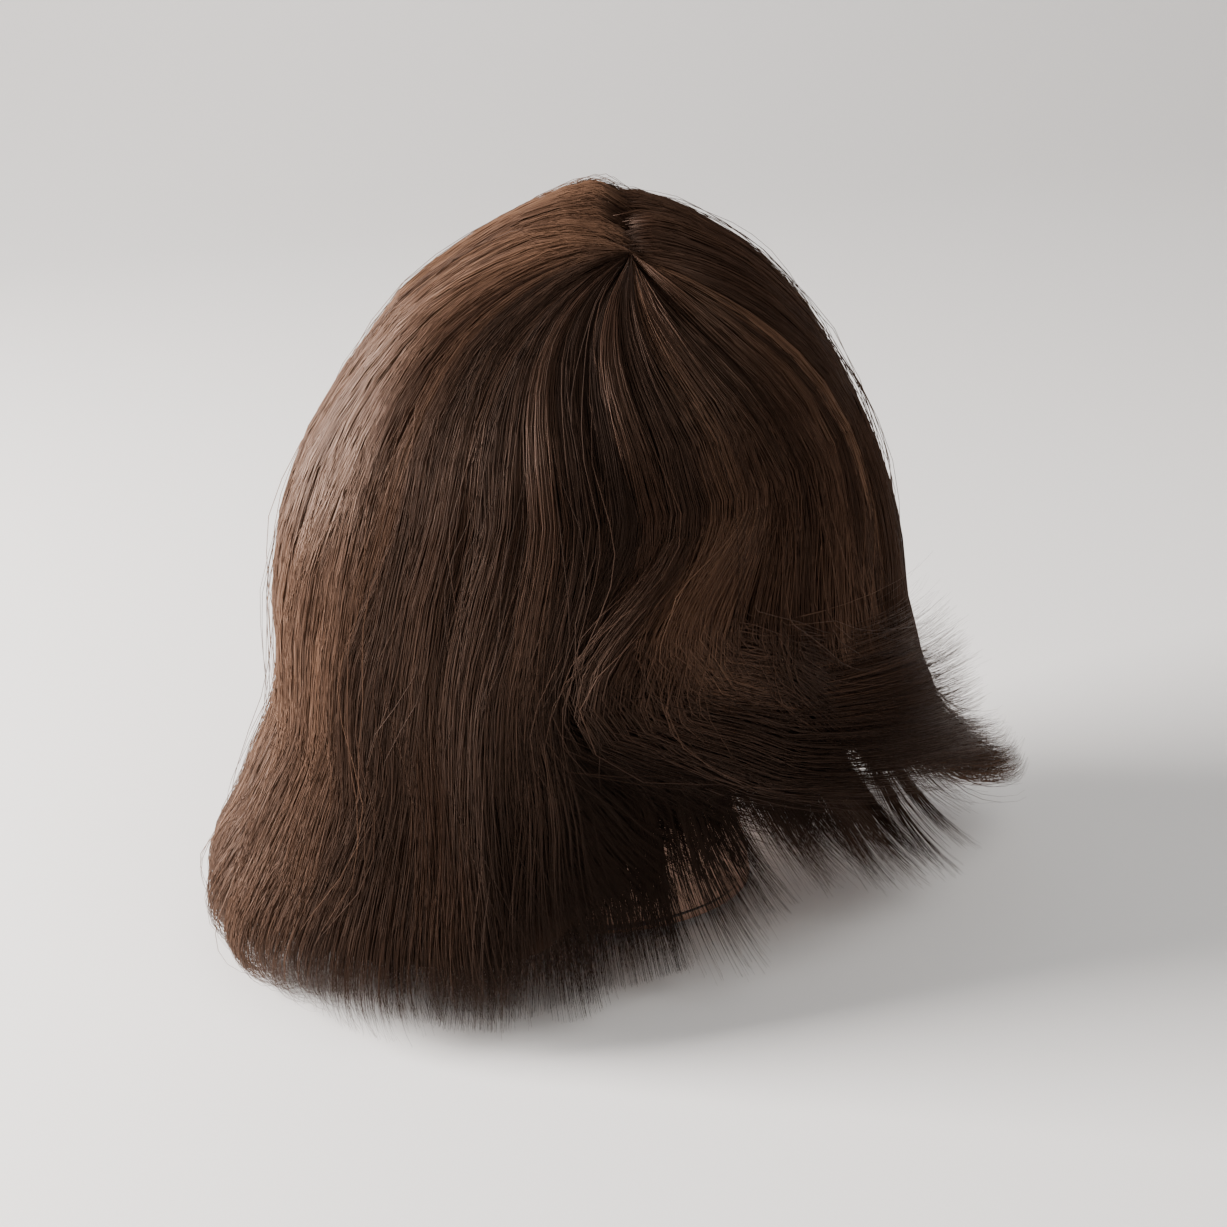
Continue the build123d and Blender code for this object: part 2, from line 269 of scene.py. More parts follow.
def relief(x, z):
    """How far the features stand forward of the smooth head."""
    ax = np.abs(x)
    nose = np.interp(z, (93, 96, 99, 102, 106, 110, 125, 140, 150),
                     (0, 1.5, 9, 14.5, 16.5, 15.5, 9, 3.6, 0))
    nose_half = np.interp(z, (96, 102, 106, 112, 125, 146), (8.5, 9.0, 8.5, 7.5, 6.0, 6.5))
    out = nose * np.exp(-(ax / nose_half) ** 2.4)
    for amount, at_x, at_z, wide, tall in features:
        out = out + amount * bump(x, z, at_x, at_z, wide, tall)
    corner = np.sqrt(np.clip(1 - (ax / 24.0) ** 2, 0, 1))
    bow = 1 - 0.35 * np.exp(-(ax / 3.0) ** 2)
    above = z - mouth_line(ax)
    out = out + 3.4 * corner * np.exp(-((above - 3.4) / 3.2) ** 2) * np.where(above > 4, bow, 1)
    out = out + 4.2 * corner * np.exp(-((above + 4.0) / 3.6) ** 2)
    return out - 2.6 * np.clip(corner * 1.6, 0, 1) * np.exp(-(above / 0.9) ** 2)


def lid_edge(x):
    """Upper and lower edge of the opening between the lids, about the eye's centre line."""
    across = np.clip(1 - ((np.abs(x) - eye_x) / lid_half) ** 2, 0, 1)
    tilt = 0.06 * (np.abs(x) - eye_x)
    return tilt + lid_up * across ** 0.75, tilt - lid_down * across ** 0.85


def face_y(x, z, lids=True):
    """y of the front of the skin over a point (x, z), with or without the lids round the eye."""
    half, front = head_reach(z, 1), head_reach(z, 2)
    share = np.clip(np.abs(x) / half, 0, 1)
    mask = np.clip((1 - share) / 0.35, 0, 1)
    forward = front * np.sqrt(1 - share ** 2) + relief(x, z) * mask * mask * (3 - 2 * mask)
    near = (np.abs(x) - eye_x) ** 2 + (z - eye_z) ** 2
    ball = -eye_y + np.sqrt(np.clip((eye_r + 1.5) ** 2 - near, 0, None))
    forward = forward - 1.2 * np.exp(-((z - eye_z - lid_edge(x)[0] - 4.2) / 1.3) ** 2) * (near < 240)
    mix = np.clip(0.5 + (ball - forward) / 5.0, 0, 1)
    cover = forward + (ball - forward) * mix + 2.5 * mix * (1 - mix)
    forward = np.where((near < (eye_r + 1.5) ** 2) & lids, np.maximum(cover, forward), forward)
    return -forward


crown_level, crown_rise = 200.0, 43.9
crown_share = np.sin(np.linspace(0.03, 1, 46) * np.pi / 2)
levels = np.concatenate([closer(0.5, crown_level, 250, (66, 166)), crown_level + crown_rise * crown_share])
grid_z, grid_turn = np.meshgrid(levels, turns, indexing="ij")
grid_x = head_reach(grid_z, 1) * np.cos(grid_turn)
ahead = np.sin(grid_turn) < 0
grid_y = np.where(ahead, face_y(grid_x, grid_z), head_reach(grid_z, 3) * np.sin(grid_turn))
upper, lower = lid_edge(grid_x)
middle = (upper + lower) / 2
open_share = np.abs(grid_z - eye_z - middle) / np.maximum((upper - lower) / 2, 0.01)
inside = (np.abs(np.abs(grid_x) - eye_x) < lid_half) & (open_share < 1) & ahead
grid_y = np.where(inside, eye_y - 4.0, grid_y)
lip_end = np.sqrt(np.clip(1 - (grid_x / lip_half) ** 2, 0, 1))
lip_top = 7.4 - 1.6 * np.exp(-(grid_x / 2.6) ** 2)
lip_place = np.abs(grid_z - mouth_line(grid_x) - 0.5) / np.maximum(lip_end * lip_top, 0.01)
lips = np.clip(1.5 - lip_place * 1.5, 0, 1) * ahead
lips = np.clip(lips * 4, 0, 1) * (lip_end > 0)

# where the hair is rooted, down from the hairline to the nape; the skin is drawn in a little there and
# painted dark brown, partly a root stain and partly painted shade under the hair
hairline, scalp_slope, scalp_sink = 207.0, 0.95, 0.04
scalp = np.clip((grid_z - hairline + scalp_slope * (grid_y + 60) * (grid_y > -60)) / 9, 0, 1)
grid_x = grid_x * (1 - scalp_sink * scalp)
grid_y = grid_y * (1 - scalp_sink * scalp)
blush = bump(grid_x, grid_z, 42, 112, 20, 14) * ahead + 0.4 * bump(grid_x, grid_z, 0, 104, 10, 7) * ahead
# Painted shade inside the nostrils: near-black colour laid into the shallow nostril dips.
nostril = bump(grid_x, grid_z, 5.6, 97.6, 2.6, 1.7) * ahead


def vinyl():
    """Skin-coloured vinyl: faint mottling, sprayed lips and cheeks, a dark brown scalp that is partly a root
    stain and partly painted shade under the hair, and painted shade in the nostrils.
    """
    material, tree, shader, add = node_material("skin_vinyl")
    where = add("ShaderNodeTexCoord").outputs["Object"]
    mottle = add("ShaderNodeTexNoise", [(where, "Vector")])
    mottle.inputs["Scale"].default_value = 55
    mottle.inputs["Detail"].default_value = 4
    colour = colour_ramp(add, mottle.outputs["Fac"], [(0.3, (0.66, 0.40, 0.29)), (0.7, (0.73, 0.47, 0.35))])
    # scalp paints the brown under the hair, partly stain and partly painted shade; nostril paints the shade
    # inside the nostrils.
    for name, tint, strength in (("blush", (0.70, 0.28, 0.22), 0.35), ("lips", (0.50, 0.15, 0.14), 0.75),
                                 ("scalp", (0.10, 0.055, 0.035), 0.9), ("nostril", (0.12, 0.04, 0.03), 0.9)):
        amount = add("ShaderNodeAttribute", attribute_name=name).outputs["Fac"]
        scaled = add("ShaderNodeMath", [(amount, 0)], operation="MULTIPLY")
        scaled.inputs[1].default_value = strength
        blend = add("ShaderNodeMixRGB", [(scaled.outputs[0], "Fac"), (colour, "Color1")])
        blend.inputs["Color2"].default_value = (*tint, 1)
        colour = blend.outputs["Color"]
    tree.links.new(colour, shader.inputs["Base Color"])
    pores = add("ShaderNodeTexNoise", [(where, "Vector")])
    pores.inputs["Scale"].default_value = 1400
    relief_node = add("ShaderNodeBump", [(pores.outputs["Fac"], "Height")])
    relief_node.inputs["Strength"].default_value = 0.12
    relief_node.inputs["Distance"].default_value = 0.1 * MM
    tree.links.new(relief_node.outputs["Normal"], shader.inputs["Normal"])
    shader.inputs["Roughness"].default_value = 0.46
    shader.inputs["Specular IOR Level"].default_value = 0.4
    return material


inner_z = np.array([12.0, 6.0, 0.5])
inner = np.stack([
    np.stack([(head_reach(z, 1) - wall) * ring_x,
              (np.where(ring_y < 0, head_reach(z, 2), head_reach(z, 3)) - wall) * ring_y,
              0 * ring_x + z], -1)
    for z in inner_z])
outer = np.stack([grid_x, grid_y, grid_z], -1)[:, :-1]
head_verts = np.concatenate([inner, outer])
rows = len(head_verts)
top_ring = np.arange((rows - 1) * columns, rows * columns)
top_point = np.array([[0.0, 0.0, crown_level + crown_rise + 0.05]])
fan = np.stack([top_ring, np.roll(top_ring, -1), np.full(columns, rows * columns)], -1)
head = fine_mesh("head_and_neck", np.concatenate([head_verts.reshape(-1, 3), top_point]) * MM,
                 sheet_quads(rows, columns), fan, np.zeros(rows * columns + 1))
for name, value in (("lips", lips), ("blush", blush), ("scalp", scalp), ("nostril", nostril)):
    paint = np.concatenate([np.zeros(inner.shape[0] * columns), value[:, :-1].ravel(), [0.0]])
    head.data.attributes.new(name, "FLOAT", "POINT").data.foreach_set("value", paint.astype(np.float32))
skin_vinyl = vinyl()
attach(head, skin_vinyl, ["head_skin"])


def round_cord(name, path, radius, sides=10):
    """Smooth closed tube along a ring of points."""
    ahead_of = np.roll(path, -1, 0) - np.roll(path, 1, 0)
    ahead_of /= np.linalg.norm(ahead_of, axis=1, keepdims=True)
    side = np.cross(ahead_of, np.array([0.0, 1.0, 0.0]))
    side /= np.linalg.norm(side, axis=1, keepdims=True)
    up = np.cross(side, ahead_of)
    turn = (np.arange(sides) * 2 * np.pi / sides)[None, :, None]
    verts = path[:, None] + radius * (np.cos(turn) * side[:, None] + np.sin(turn) * up[:, None])
    verts = np.concatenate([verts, verts[:1]])
    return fine_mesh(name, verts.reshape(-1, 3) * MM, sheet_quads(len(verts), sides),
                     np.zeros((0, 3), int), np.zeros(len(verts) * sides))


lap = np.linspace(0, 2 * np.pi, 81)[:-1]
for side, word in both_sides:
    rim_x = side * (eye_x + lid_half * np.cos(lap))
    high_lid, low_lid = lid_edge(rim_x)
    rim_z = eye_z + np.where(lap < np.pi, high_lid, low_lid)
    rim_y = face_y(rim_x, rim_z) + 0.75
    lid_rim = round_cord("lid_rims_" + word, np.stack([rim_x, rim_y, rim_z], -1), lid_rim_radius)
    attach(lid_rim, skin_vinyl, ["head_skin"])


# ---- Ears ----------------------------------------------------------------------------------------
# Moulded in one with the skin, in the same vinyl. Shown as a piece each, let into the sides of the
# head under the hair.

ear_place, ear_height = 10.0, 124.0


def ear(word, side):
    """Ear with its rolled rim, inner fold, bowl and lobe."""
    around, out = np.meshgrid(np.linspace(0, 2 * np.pi, 97)[:-1], np.linspace(1, 0, 42), indexing="xy")
    wide = 16.0 * (1 - 0.22 * np.clip(-np.sin(around), 0, 1) ** 1.5)
    u = wide * out * np.cos(around)
    v = 27.0 * out * np.sin(around)
    height = 8.6 + 1.4 * np.sin(around) * out
    height = height + 1.5 * np.exp(-((out - 0.90) / 0.09) ** 2) - 3.0 * np.exp(-((out - 0.72) / 0.10) ** 2)
    height = height + 0.9 * np.exp(-((out - 0.52) / 0.10) ** 2) * (np.cos(around) > -0.5)
    height = height - 6.0 * np.exp(-((u + 3.5) / 5.0) ** 2 - ((v + 3.0) / 7.5) ** 2)
    height = height + 3.0 * np.exp(-((u + 12.0) / 2.6) ** 2 - ((v + 3.0) / 4.0) ** 2)
    height = height - 2.5 * np.clip((out - 0.93) / 0.07, 0, 1) ** 2
    skirt = np.stack([side * (66.0 + 0 * u[0]), ear_place + 0.8 * u[0], ear_height + 0.85 * v[0]], -1)
    shape = np.stack([side * (73.0 + height + 0.16 * u), ear_place + u, ear_height + v - 0.12 * u], -1)
    verts = np.concatenate([skirt[None], shape])
    if side < 0:
        verts = verts[:, ::-1]
    piece = fine_mesh("ear_" + word, verts.reshape(-1, 3) * MM, sheet_quads(*verts.shape[:2]),
                      np.zeros((0, 3), int), np.zeros(verts.shape[0] * verts.shape[1]))
    return attach(piece, skin_vinyl, ["head_skin"])


for side, word in both_sides:
    ear(word, side)


# ---- Eyes ----------------------------------------------------------------------------------------
# Acrylic half shells, cast clear over a printed brown iris and pressed into the pockets behind the
# lids from inside the head.

def acrylic_eye():
    """White ball with a brown iris round a black pupil, smooth and glossy."""
    material, tree, shader, add = node_material("acrylic_eye")
    where = add("ShaderNodeTexCoord").outputs["Object"]
    split = add("ShaderNodeSeparateXYZ", [(where, "Vector")])
    flat = add("ShaderNodeCombineXYZ", [(split.outputs["X"], "X"), (split.outputs["Z"], "Z")])
    reach = add("ShaderNodeVectorMath", [(flat.outputs[0], 0)], operation="LENGTH")
    grain = add("ShaderNodeTexNoise", [(where, "Vector")])
    grain.inputs["Scale"].default_value = 900
    wobble = add("ShaderNodeMath", [(grain.outputs["Fac"], 0)], operation="MULTIPLY")
    wobble.inputs[1].default_value = 0.6 * MM
    total = add("ShaderNodeMath", [(reach.outputs["Value"], 0), (wobble.outputs[0], 1)], operation="ADD")
    share = add("ShaderNodeMath", [(total.outputs[0], 0)], operation="DIVIDE")
    share.inputs[1].default_value = eye_r * MM
    stops = [(0.0, (0.004, 0.003, 0.003)), (0.205, (0.004, 0.003, 0.003)), (0.225, (0.11, 0.05, 0.018)),
             (0.36, (0.17, 0.085, 0.03)), (0.46, (0.06, 0.03, 0.015)), (0.50, (0.02, 0.014, 0.012)),
             (0.535, (0.62, 0.58, 0.54)), (1.0, (0.60, 0.50, 0.46))]
    tree.links.new(colour_ramp(add, share.outputs[0], stops), shader.inputs["Base Color"])
    shader.inputs["Roughness"].default_value = 0.10
    shader.inputs["Specular IOR Level"].default_value = 0.22
    return material


eye_acrylic = acrylic_eye()
eye_sides = 64
cornea_rise = 0.9
lat, lon = np.meshgrid(np.radians(np.linspace(2, 96, 48)), np.linspace(0, 2 * np.pi, eye_sides + 1)[:-1],
                       indexing="ij")
bulge = eye_r + cornea_rise * np.clip(1 - (lat / 0.56) ** 2, 0, 1) ** 1.5
verts = bulge[..., None] * np.stack([np.sin(lat) * np.cos(lon), -np.cos(lat), np.sin(lat) * np.sin(lon)], -1)
verts = np.concatenate([verts, 0.86 * verts[-1:]])
front_ring = np.arange(eye_sides)
fan = np.stack([np.roll(front_ring, -1), front_ring, np.full(eye_sides, len(verts) * eye_sides)], -1)
points = np.concatenate([verts.reshape(-1, 3), [[0, -(eye_r + cornea_rise), 0]]])
for side, word in both_sides:
    eyeball = fine_mesh("eyeball_" + word, points * MM, sheet_quads(len(verts), eye_sides)[:, ::-1],
                        fan[:, ::-1], np.zeros(len(points)))
    eyeball.location = (side * eye_x * MM, eye_y * MM, eye_z * MM)
    attach(eyeball, eye_acrylic, ["eye_" + word])


# ---- Lashes and brows ----------------------------------------------------------------------------
# Short dark hair, implanted along the lid edges and in two thin arched bands above the eyes.

def strands(name, path, normal, tone, thickness):
    """One mesh of closed three-sided tubes along the paths, fine at the tips."""
    count, points = path.shape[:2]
    tangent = np.gradient(path, axis=1)
    tangent /= np.linalg.norm(tangent, axis=-1, keepdims=True) + 1e-9
    across = np.cross(tangent, normal)
    across /= np.linalg.norm(across, axis=-1, keepdims=True) + 1e-9
    up = np.cross(across, tangent)
    t = np.linspace(0, 1, points)
    taper = np.minimum(1, 0.55 + 4 * t) * np.clip((1 - t) * 5, 0.18, 1)
    radius = thickness[:, None] * taper[None]
    corners = []
    for k in range(3):
        turn = math.radians(90 + 120 * k)
        corners.append(path + radius[..., None] * (math.sin(turn) * up + 1.25 * math.cos(turn) * across))
    verts = np.stack(corners, 2).reshape(-1, 3) * MM
    index = np.arange(count * points * 3).reshape(count, points, 3)
    quads = []
    for k in range(3):
        m = (k + 1) % 3
        quads.append(np.stack([index[:, :-1, k], index[:, :-1, m], index[:, 1:, m], index[:, 1:, k]], -1))
    quads = np.stack(quads, 2).reshape(-1, 4)
    caps = np.concatenate([index[:, 0, ::-1], index[:, -1, :]])
    return fine_mesh(name, verts, quads, caps, np.repeat(tone.reshape(-1), 3))


def hair_material(name, roughness, shine):
    """Dark brown fibre with a soft silky shine, lighter and warmer as its tone rises.

    The tone holds painted light and shade besides the hair's own variation. Where it is lowest, in the
    painted shade of the hollows and at the roots, the hair is also dull.
    """
    material, tree, shader, add = node_material(name)
    tone = add("ShaderNodeAttribute", attribute_name="tone").outputs["Fac"]
    stops = [(0.0, (0.006, 0.003, 0.002)), (0.45, (0.036, 0.018, 0.011)), (1.0, (0.13, 0.070, 0.042))]
    tree.links.new(colour_ramp(add, tone, stops), shader.inputs["Base Color"])
    dull = [(0.0, (0.95, 0.95, 0.95)), (0.14, (0.7, 0.7, 0.7)), (0.28, (roughness, roughness, roughness))]
    tree.links.new(colour_ramp(add, tone, dull), shader.inputs["Roughness"])
    shader.inputs["Specular IOR Level"].default_value = shine
    shader.inputs["Specular Tint"].default_value = (1.0, 0.66, 0.50, 1)
    return material


dark_brown = hair_material("dark_brown_hair", 0.42, 0.40)
fibre_points = 6
lash_count, brow_count = 96, 420
fibre_dice = np.random.default_rng(21)
for side, word in both_sides:
    n = lash_count
    spot = np.linspace(-0.93, 0.93, n) + fibre_dice.normal(0, 0.01, n)
    x = side * (eye_x + lid_half * spot)
    z = eye_z + lid_edge(x)[0] - 0.2
    root = np.stack([x, face_y(x, z) + 0.2, z], -1)
    length = (4.2 + 2.6 * np.sqrt(1 - spot ** 2) + 0.8 * spot) * fibre_dice.uniform(0.8, 1.1, n)
    t = np.linspace(0, 1, fibre_points)[None, :, None]
    away = np.stack([side * (0.15 + 0.5 * spot), -0.9 + 0 * x, -0.12 + 0 * x], -1)
    lift = np.stack([0 * x, 0 * x, 0.62 + 0 * x], -1)
    path = root[:, None] + length[:, None, None] * (away[:, None] * t + lift[:, None] * t ** 2)
    up = np.tile(np.array([0.0, 0.3, 1.0]), (n, fibre_points, 1))
    lashes = strands("lash_hairs_" + word, path, up, np.full((n, fibre_points), 0.12), np.full(n, 0.13))
    attach(lashes, dark_brown, ["lashes_" + word])
    n = brow_count
    spot = fibre_dice.uniform(-1, 1, n)
    over = fibre_dice.uniform(-1, 1, n)
    x = side * (33.0 + 20.5 * spot)
    arch = 163.7 - 5.12 * (spot - 0.25) ** 2 - 9.6 * np.clip(spot - 0.5, 0, 1) ** 2
    outer_taper = np.clip(1.15 - np.clip(spot, -0.6, 1), 0.25, 1)
    z = arch + over * 1.9 * outer_taper * np.clip((spot + 1.35) * 1.6, 0.4, 1)
    length = fibre_dice.uniform(3.2, 5.4, n)
    lean = np.clip(0.575 + 0.375 * spot - 0.14 * (over > 0), 0.15, 1.2)[:, None] * np.pi / 2
    step = np.linspace(0, 1, fibre_points)[None]
    px = x[:, None] + side * length[:, None] * step * np.sin(lean)
    pz = z[:, None] + length[:, None] * (step * np.cos(lean) - 0.18 * step ** 2)
    py = face_y(px, pz, False) - 0.15 - 0.72 * np.sin(np.pi * step * 0.85)
    path = np.stack([px, py, pz], -1)
    up = np.tile(np.array([0.0, -1.0, 0.0]), (n, fibre_points, 1))
    brow = strands("brow_hairs_" + word, path, up, np.full((n, fibre_points), 0.3), np.full(n, 0.12))
    attach(brow, dark_brown, ["brow_" + word])


# ---- Hair ----------------------------------------------------------------------------------------
# Straight dark brown hair, punched into the scalp in sections and combed out from a whorl behind
# the crown and from a parting in front of it. Its ends are turned: rolled under at the left,
# flipped up at the right.

hair_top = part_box("hair_crown")[1].z / MM
whorl = (-24.0, 44.0)              # where the hair turns out of the crown, seen from above
parting_front = (-26.0, -70.0)     # front end of the parting
wide_level = 182.0                 # above this the hair lies on the head, below it hangs
side_reach, back_reach, fringe_reach = 106.0, 121.0, 92.0
flare_reach = 32.0
dome_foot, dome_rise = 150.0, 110.0  # the dome of the hair starts here and is this tall

# height share, half width, front, back, share of the flare, lean towards the head's right
mane_rows = np.array([
    (0.000, 1.02, 0.96, 1.00, 1.0, 0.0),
    (0.055, 1.06, 1.00, 1.03, 1.0, 0.0),
    (0.145, 1.06, 1.00, 1.03, 0.75, 0.0),
    (0.235, 1.06, 0.96, 1.00, 0.35, 0.0),
    (0.325, 1.06, 0.94, 0.98, 0.1, 0.0),
    (0.415, 1.06, 0.95, 0.98, 0.0, 0.0),
    (0.505, 1.035, 0.98, 0.99, 0.0, 0.0),
    (0.595, 0.980, 1.00, 1.00, 0.0, 1.0),
    (0.685, 0.890, 1.00, 0.98, 0.0, 3.0),
    (0.775, 0.765, 0.95, 0.90, 0.0, 6.0),
    (0.860, 0.600, 0.76, 0.70, 0.0, 8.0),
    (0.930, 0.370, 0.44, 0.43, 0.0, 12.0),
    (0.975, 0.165, 0.19, 0.20, 0.0, 15.0),
    (1.000, 0.020, 0.02, 0.02, 0.0, 17.0),
])


def outline(z):
    """Half width, front, back and sideways lean of the hair's outside at a height."""
    share = np.clip(z / hair_top, 0, 1)
    rows = mane_rows
    flare = np.interp(share, rows[:, 0], rows[:, 4]) * flare_reach

    def reach(column, size):
        return size * np.sqrt(np.interp(share, rows[:, 0], rows[:, column] ** 2))

    return (reach(1, side_reach) + flare, reach(2, fringe_reach),
            reach(3, back_reach) + 0.3 * flare, -np.interp(share, rows[:, 0], rows[:, 5]))


def dome_height(x, y):
    """Height of the hair's outside over a point seen from above."""
    low = np.full(x.shape, wide_level - 10.0)
    high = np.full(x.shape, hair_top)
    for _ in range(24):
        middle = (low + high) / 2
        half, front, back, lean = outline(middle)
        inside = ((x - lean) / half) ** 2 + (y / np.where(y > 0, back, front)) ** 2 < 1
        low = np.where(inside, middle, low)
        high = np.where(inside, high, middle)
    return (low + high) / 2


# How the hair hangs round the head. Bearing in degrees from the back towards the head's left,
# height of the ends, turn of the ends (up +, under -), the sideways sway half way down and at the
# ends, the push outwards half way down and at the ends, and the sideways sweep of the tips.
fall_guides = np.array([
    (-142, 34, 50, 0, 0, 0, 0, 0),
    (-112, 36, 55, 0, 2, -2, -6, 0),
    (-92, 20, 75, 0, -4, -3, -4, -6),
    (-72, 29, 75, 6, -10, -2, -5, -14),
    (-52, 53, 60, 14, -14, 0, -5, -24),
    (-35, 66, 60, 22, -20, 4, 0, -34),
    (-20, 62, 55, 33, -24, 6, 0, -36),
    (-10, 44, 30, 26, -6, -2, -24, -22),
    (-2, 31, 0, 16, 4, 0, -20, -6),
    (12, 22, -35, 9, 6, 3, 2, 0),
    (22, 19, -45, 8, 4, 0, 3, 0),
    (34, 13, -60, 8, 18, 0, 4, 3),
    (50, 11, -85, 6, 16, 0, 6, 4),
    (70, 9, -120, 3, 12, -2, 8, 4),
    (90, 9, -120, 0, 7, -2, 8, 4),
    (112, 14, -70, 0, 3, 0, 4, 2),
    (142, 28, 50, 0, 0, 0, 0, 0),
], float)

turn_length = 40.0                 # length of the turned ends
hang_radius = 105.0                # mean distance of the hanging hair from the middle
widest_hair, squeeze = 148.0, 0.6  # beyond this the flying ends are pressed in, by this share
last_bearing = 142.0               # where the front hair ends, either way from the back
usual_length = 300.0               # of a strand, root to tip
cap_points, fall_points, turn_points = 11, 11, 6


def guide(bearing, column):
    """A column of the guides at a bearing."""
    return np.interp(bearing, fall_guides[:, 0], fall_guides[:, column])


def comb(bearing, depth, start, lift, longer, curl, sway, drift):
    """Strand paths, one a row, from the scalp over the head to the turned ends, with their normals.

    bearing, depth ... are one number a strand. drift is a function of the length along the strand,
    and gives how far the strand wanders sideways and outwards there.
    """
    count = len(bearing)
    b = bearing[:, None]
    side = np.clip((np.abs(b) - 75) / 65, 0, 1)
    side = side * side * (3 - 2 * side)
    x0 = whorl[0] + (parting_front[0] - whorl[0]) * side
    y0 = whorl[1] + (parting_front[1] - whorl[1]) * side
    angle = np.radians(b)
    half, front, back, lean = outline(np.array(wide_level))
    x1 = lean + half * np.sin(angle)
    y1 = np.cos(angle) * np.where(np.cos(angle) > 0, back, front)
    u = start[:, None] + (1 - start[:, None]) * np.linspace(0, 1, cap_points)[None, :]
    swirl = 9.0 * np.sin(np.pi * np.clip(u, 0, 1)) * (1 - side)
    x = x0 + (x1 - x0) * u + swirl * np.cos(angle)
    y = y0 + (y1 - y0) * u - swirl * np.sin(angle)
    z = dome_height(x, y)
    z[:, -1] = wide_level

    turn = np.radians(guide(b, 2) * curl[:, None])
    turn = np.where(np.abs(turn) < 0.05, 0.05, turn)
    radius = turn_length / turn
    drop = np.abs(radius) * np.sin(np.minimum(np.abs(turn), np.pi / 2))
    end = np.maximum(guide(b, 1) + longer[:, None], np.minimum(guide(b, 1), 12.0) - 2.0)
    h = np.linspace(0, 1, fall_points + 1)[None, 1:]
    fall_z = wide_level + (end + drop - wide_level) * h
    first, second = np.clip(h / 0.66, 0, 1), np.clip((h - 0.66) / 0.5, 0, 1)
    first, second = (t * t * (3 - 2 * t) for t in (first, second))
    shift = guide(b, 3) * first + (guide(b, 4) - guide(b, 3)) * second
    push = guide(b, 5) * first + (guide(b, 6) - guide(b, 5)) * second
    half, front, back, lean = outline(fall_z)
    angle = np.radians(b) + shift * sway[:, None] / half
    fx = lean + half * np.sin(angle)
    fy = np.cos(angle) * np.where(np.cos(angle) > 0, back, front)
    path = np.stack([np.hstack([x, fx]), np.hstack([y, fy]), np.hstack([z, fall_z])], -1)

    normal = path / np.array([side_reach, 0.5 * (back_reach + fringe_reach), dome_rise]) ** 2
    normal[..., 2] = np.maximum(path[..., 2] - dome_foot, 0) / dome_rise ** 2
    normal /= np.linalg.norm(normal, axis=-1, keepdims=True)
    along = np.cumsum(np.linalg.norm(np.diff(path, axis=1, prepend=path[:, :1]), axis=-1), axis=1)
    across = np.cross(normal, np.gradient(path, axis=1))
    across /= np.linalg.norm(across, axis=-1, keepdims=True) + 1e-9
    wander, rise = drift(along)
    sink = depth[:, None] + lift[:, None] * np.exp(-along / 9.0)
    out = np.hstack([np.zeros((count, cap_points)), push]) - sink + rise
    path = path + normal * out[..., None] + across * wander[..., None]

    tip = path[:, -1]
    heading = tip - path[:, -2]
    heading /= np.linalg.norm(heading, axis=-1, keepdims=True)
    outward = normal[:, -1] - heading * np.sum(normal[:, -1] * heading, -1, keepdims=True)
    outward /= np.linalg.norm(outward, axis=-1, keepdims=True)
    round_turn = np.linspace(0, 1, turn_points + 1)[None, 1:]
    theta = (turn * round_turn)[..., None]
    heading, outward = heading[:, None], outward[:, None]
    bend = tip[:, None] + radius[..., None] * (np.sin(theta) * heading + (1 - np.cos(theta)) * outward)
    bend_normal = np.cos(theta) * outward - np.sin(theta) * heading
    sweep = (guide(bearing, 7) * sway)[:, None] / hang_radius * round_turn ** 1.6
    bx, by = bend[..., 0].copy(), bend[..., 1].copy()
    bend[..., 0] = bx * np.cos(sweep) + by * np.sin(sweep)
    bend[..., 1] = by * np.cos(sweep) - bx * np.sin(sweep)
    path = np.concatenate([path, bend], 1)
    normal = np.concatenate([normal, bend_normal], 1)
    path[..., 2] = np.maximum(path[..., 2], 1.0)
    path[..., 0] -= np.sign(path[..., 0]) * squeeze * np.maximum(np.abs(path[..., 0]) - widest_hair, 0)
    return path, normal


def under_hair(name, low, high, nodes, outer, inner, shorter):
    """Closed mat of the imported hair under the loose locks, between two depths, with combed ridges."""
    bearing = np.linspace(low, high, int((high - low) / 0.8) + 1)
    one = np.ones(len(bearing))

    def surface(depth, ridge):
        def drift(along):
            ripple = np.sin(bearing * 1.9)[:, None] + 0.6 * np.sin(bearing * 4.3 + 1.0)[:, None]
            return 0 * along, ridge * ripple * np.minimum(along / 120.0, 1)
        return comb(bearing, depth * one, 0 * one, 5.0 * one, shorter * one, 0.05 * one, 0.3 * one, drift)[0]

    outside, inside = surface(outer, 0.8), surface(inner, 0.3)
    rows, columns = outside.shape[:2]
    index = np.arange(rows * columns).reshape(rows, columns)
    back = index + rows * columns

    def skin(grid):
        return np.stack([grid[:-1, :-1], grid[1:, :-1], grid[1:, 1:], grid[:-1, 1:]], -1).reshape(-1, 4)

    def rim(a, b):
        return np.stack([a[:-1], b[:-1], b[1:], a[1:]], -1)

    quads = np.concatenate([skin(index), skin(back)[:, ::-1], rim(index[:, -1], back[:, -1])[:, ::-1],
                            rim(index[:, 0], back[:, 0]), rim(index[0], back[0])[:, ::-1],
                            rim(index[-1], back[-1])])
    verts = np.concatenate([outside.reshape(-1, 3), inside.reshape(-1, 3)]) * MM
    # Its low tone of 0.18 is painted shade: the packed hair under the loose locks is made darker than they
    # are.
    piece = fine_mesh(name, verts, quads, np.zeros((0, 3), int), np.full(len(verts), 0.18))
    return attach(piece, hair_material("packed_hair_fibres", 0.85, 0.08), nodes)


dice = np.random.default_rng(7)
right_to_left = (-20, -6)          # bearings between which the length of the ends changes


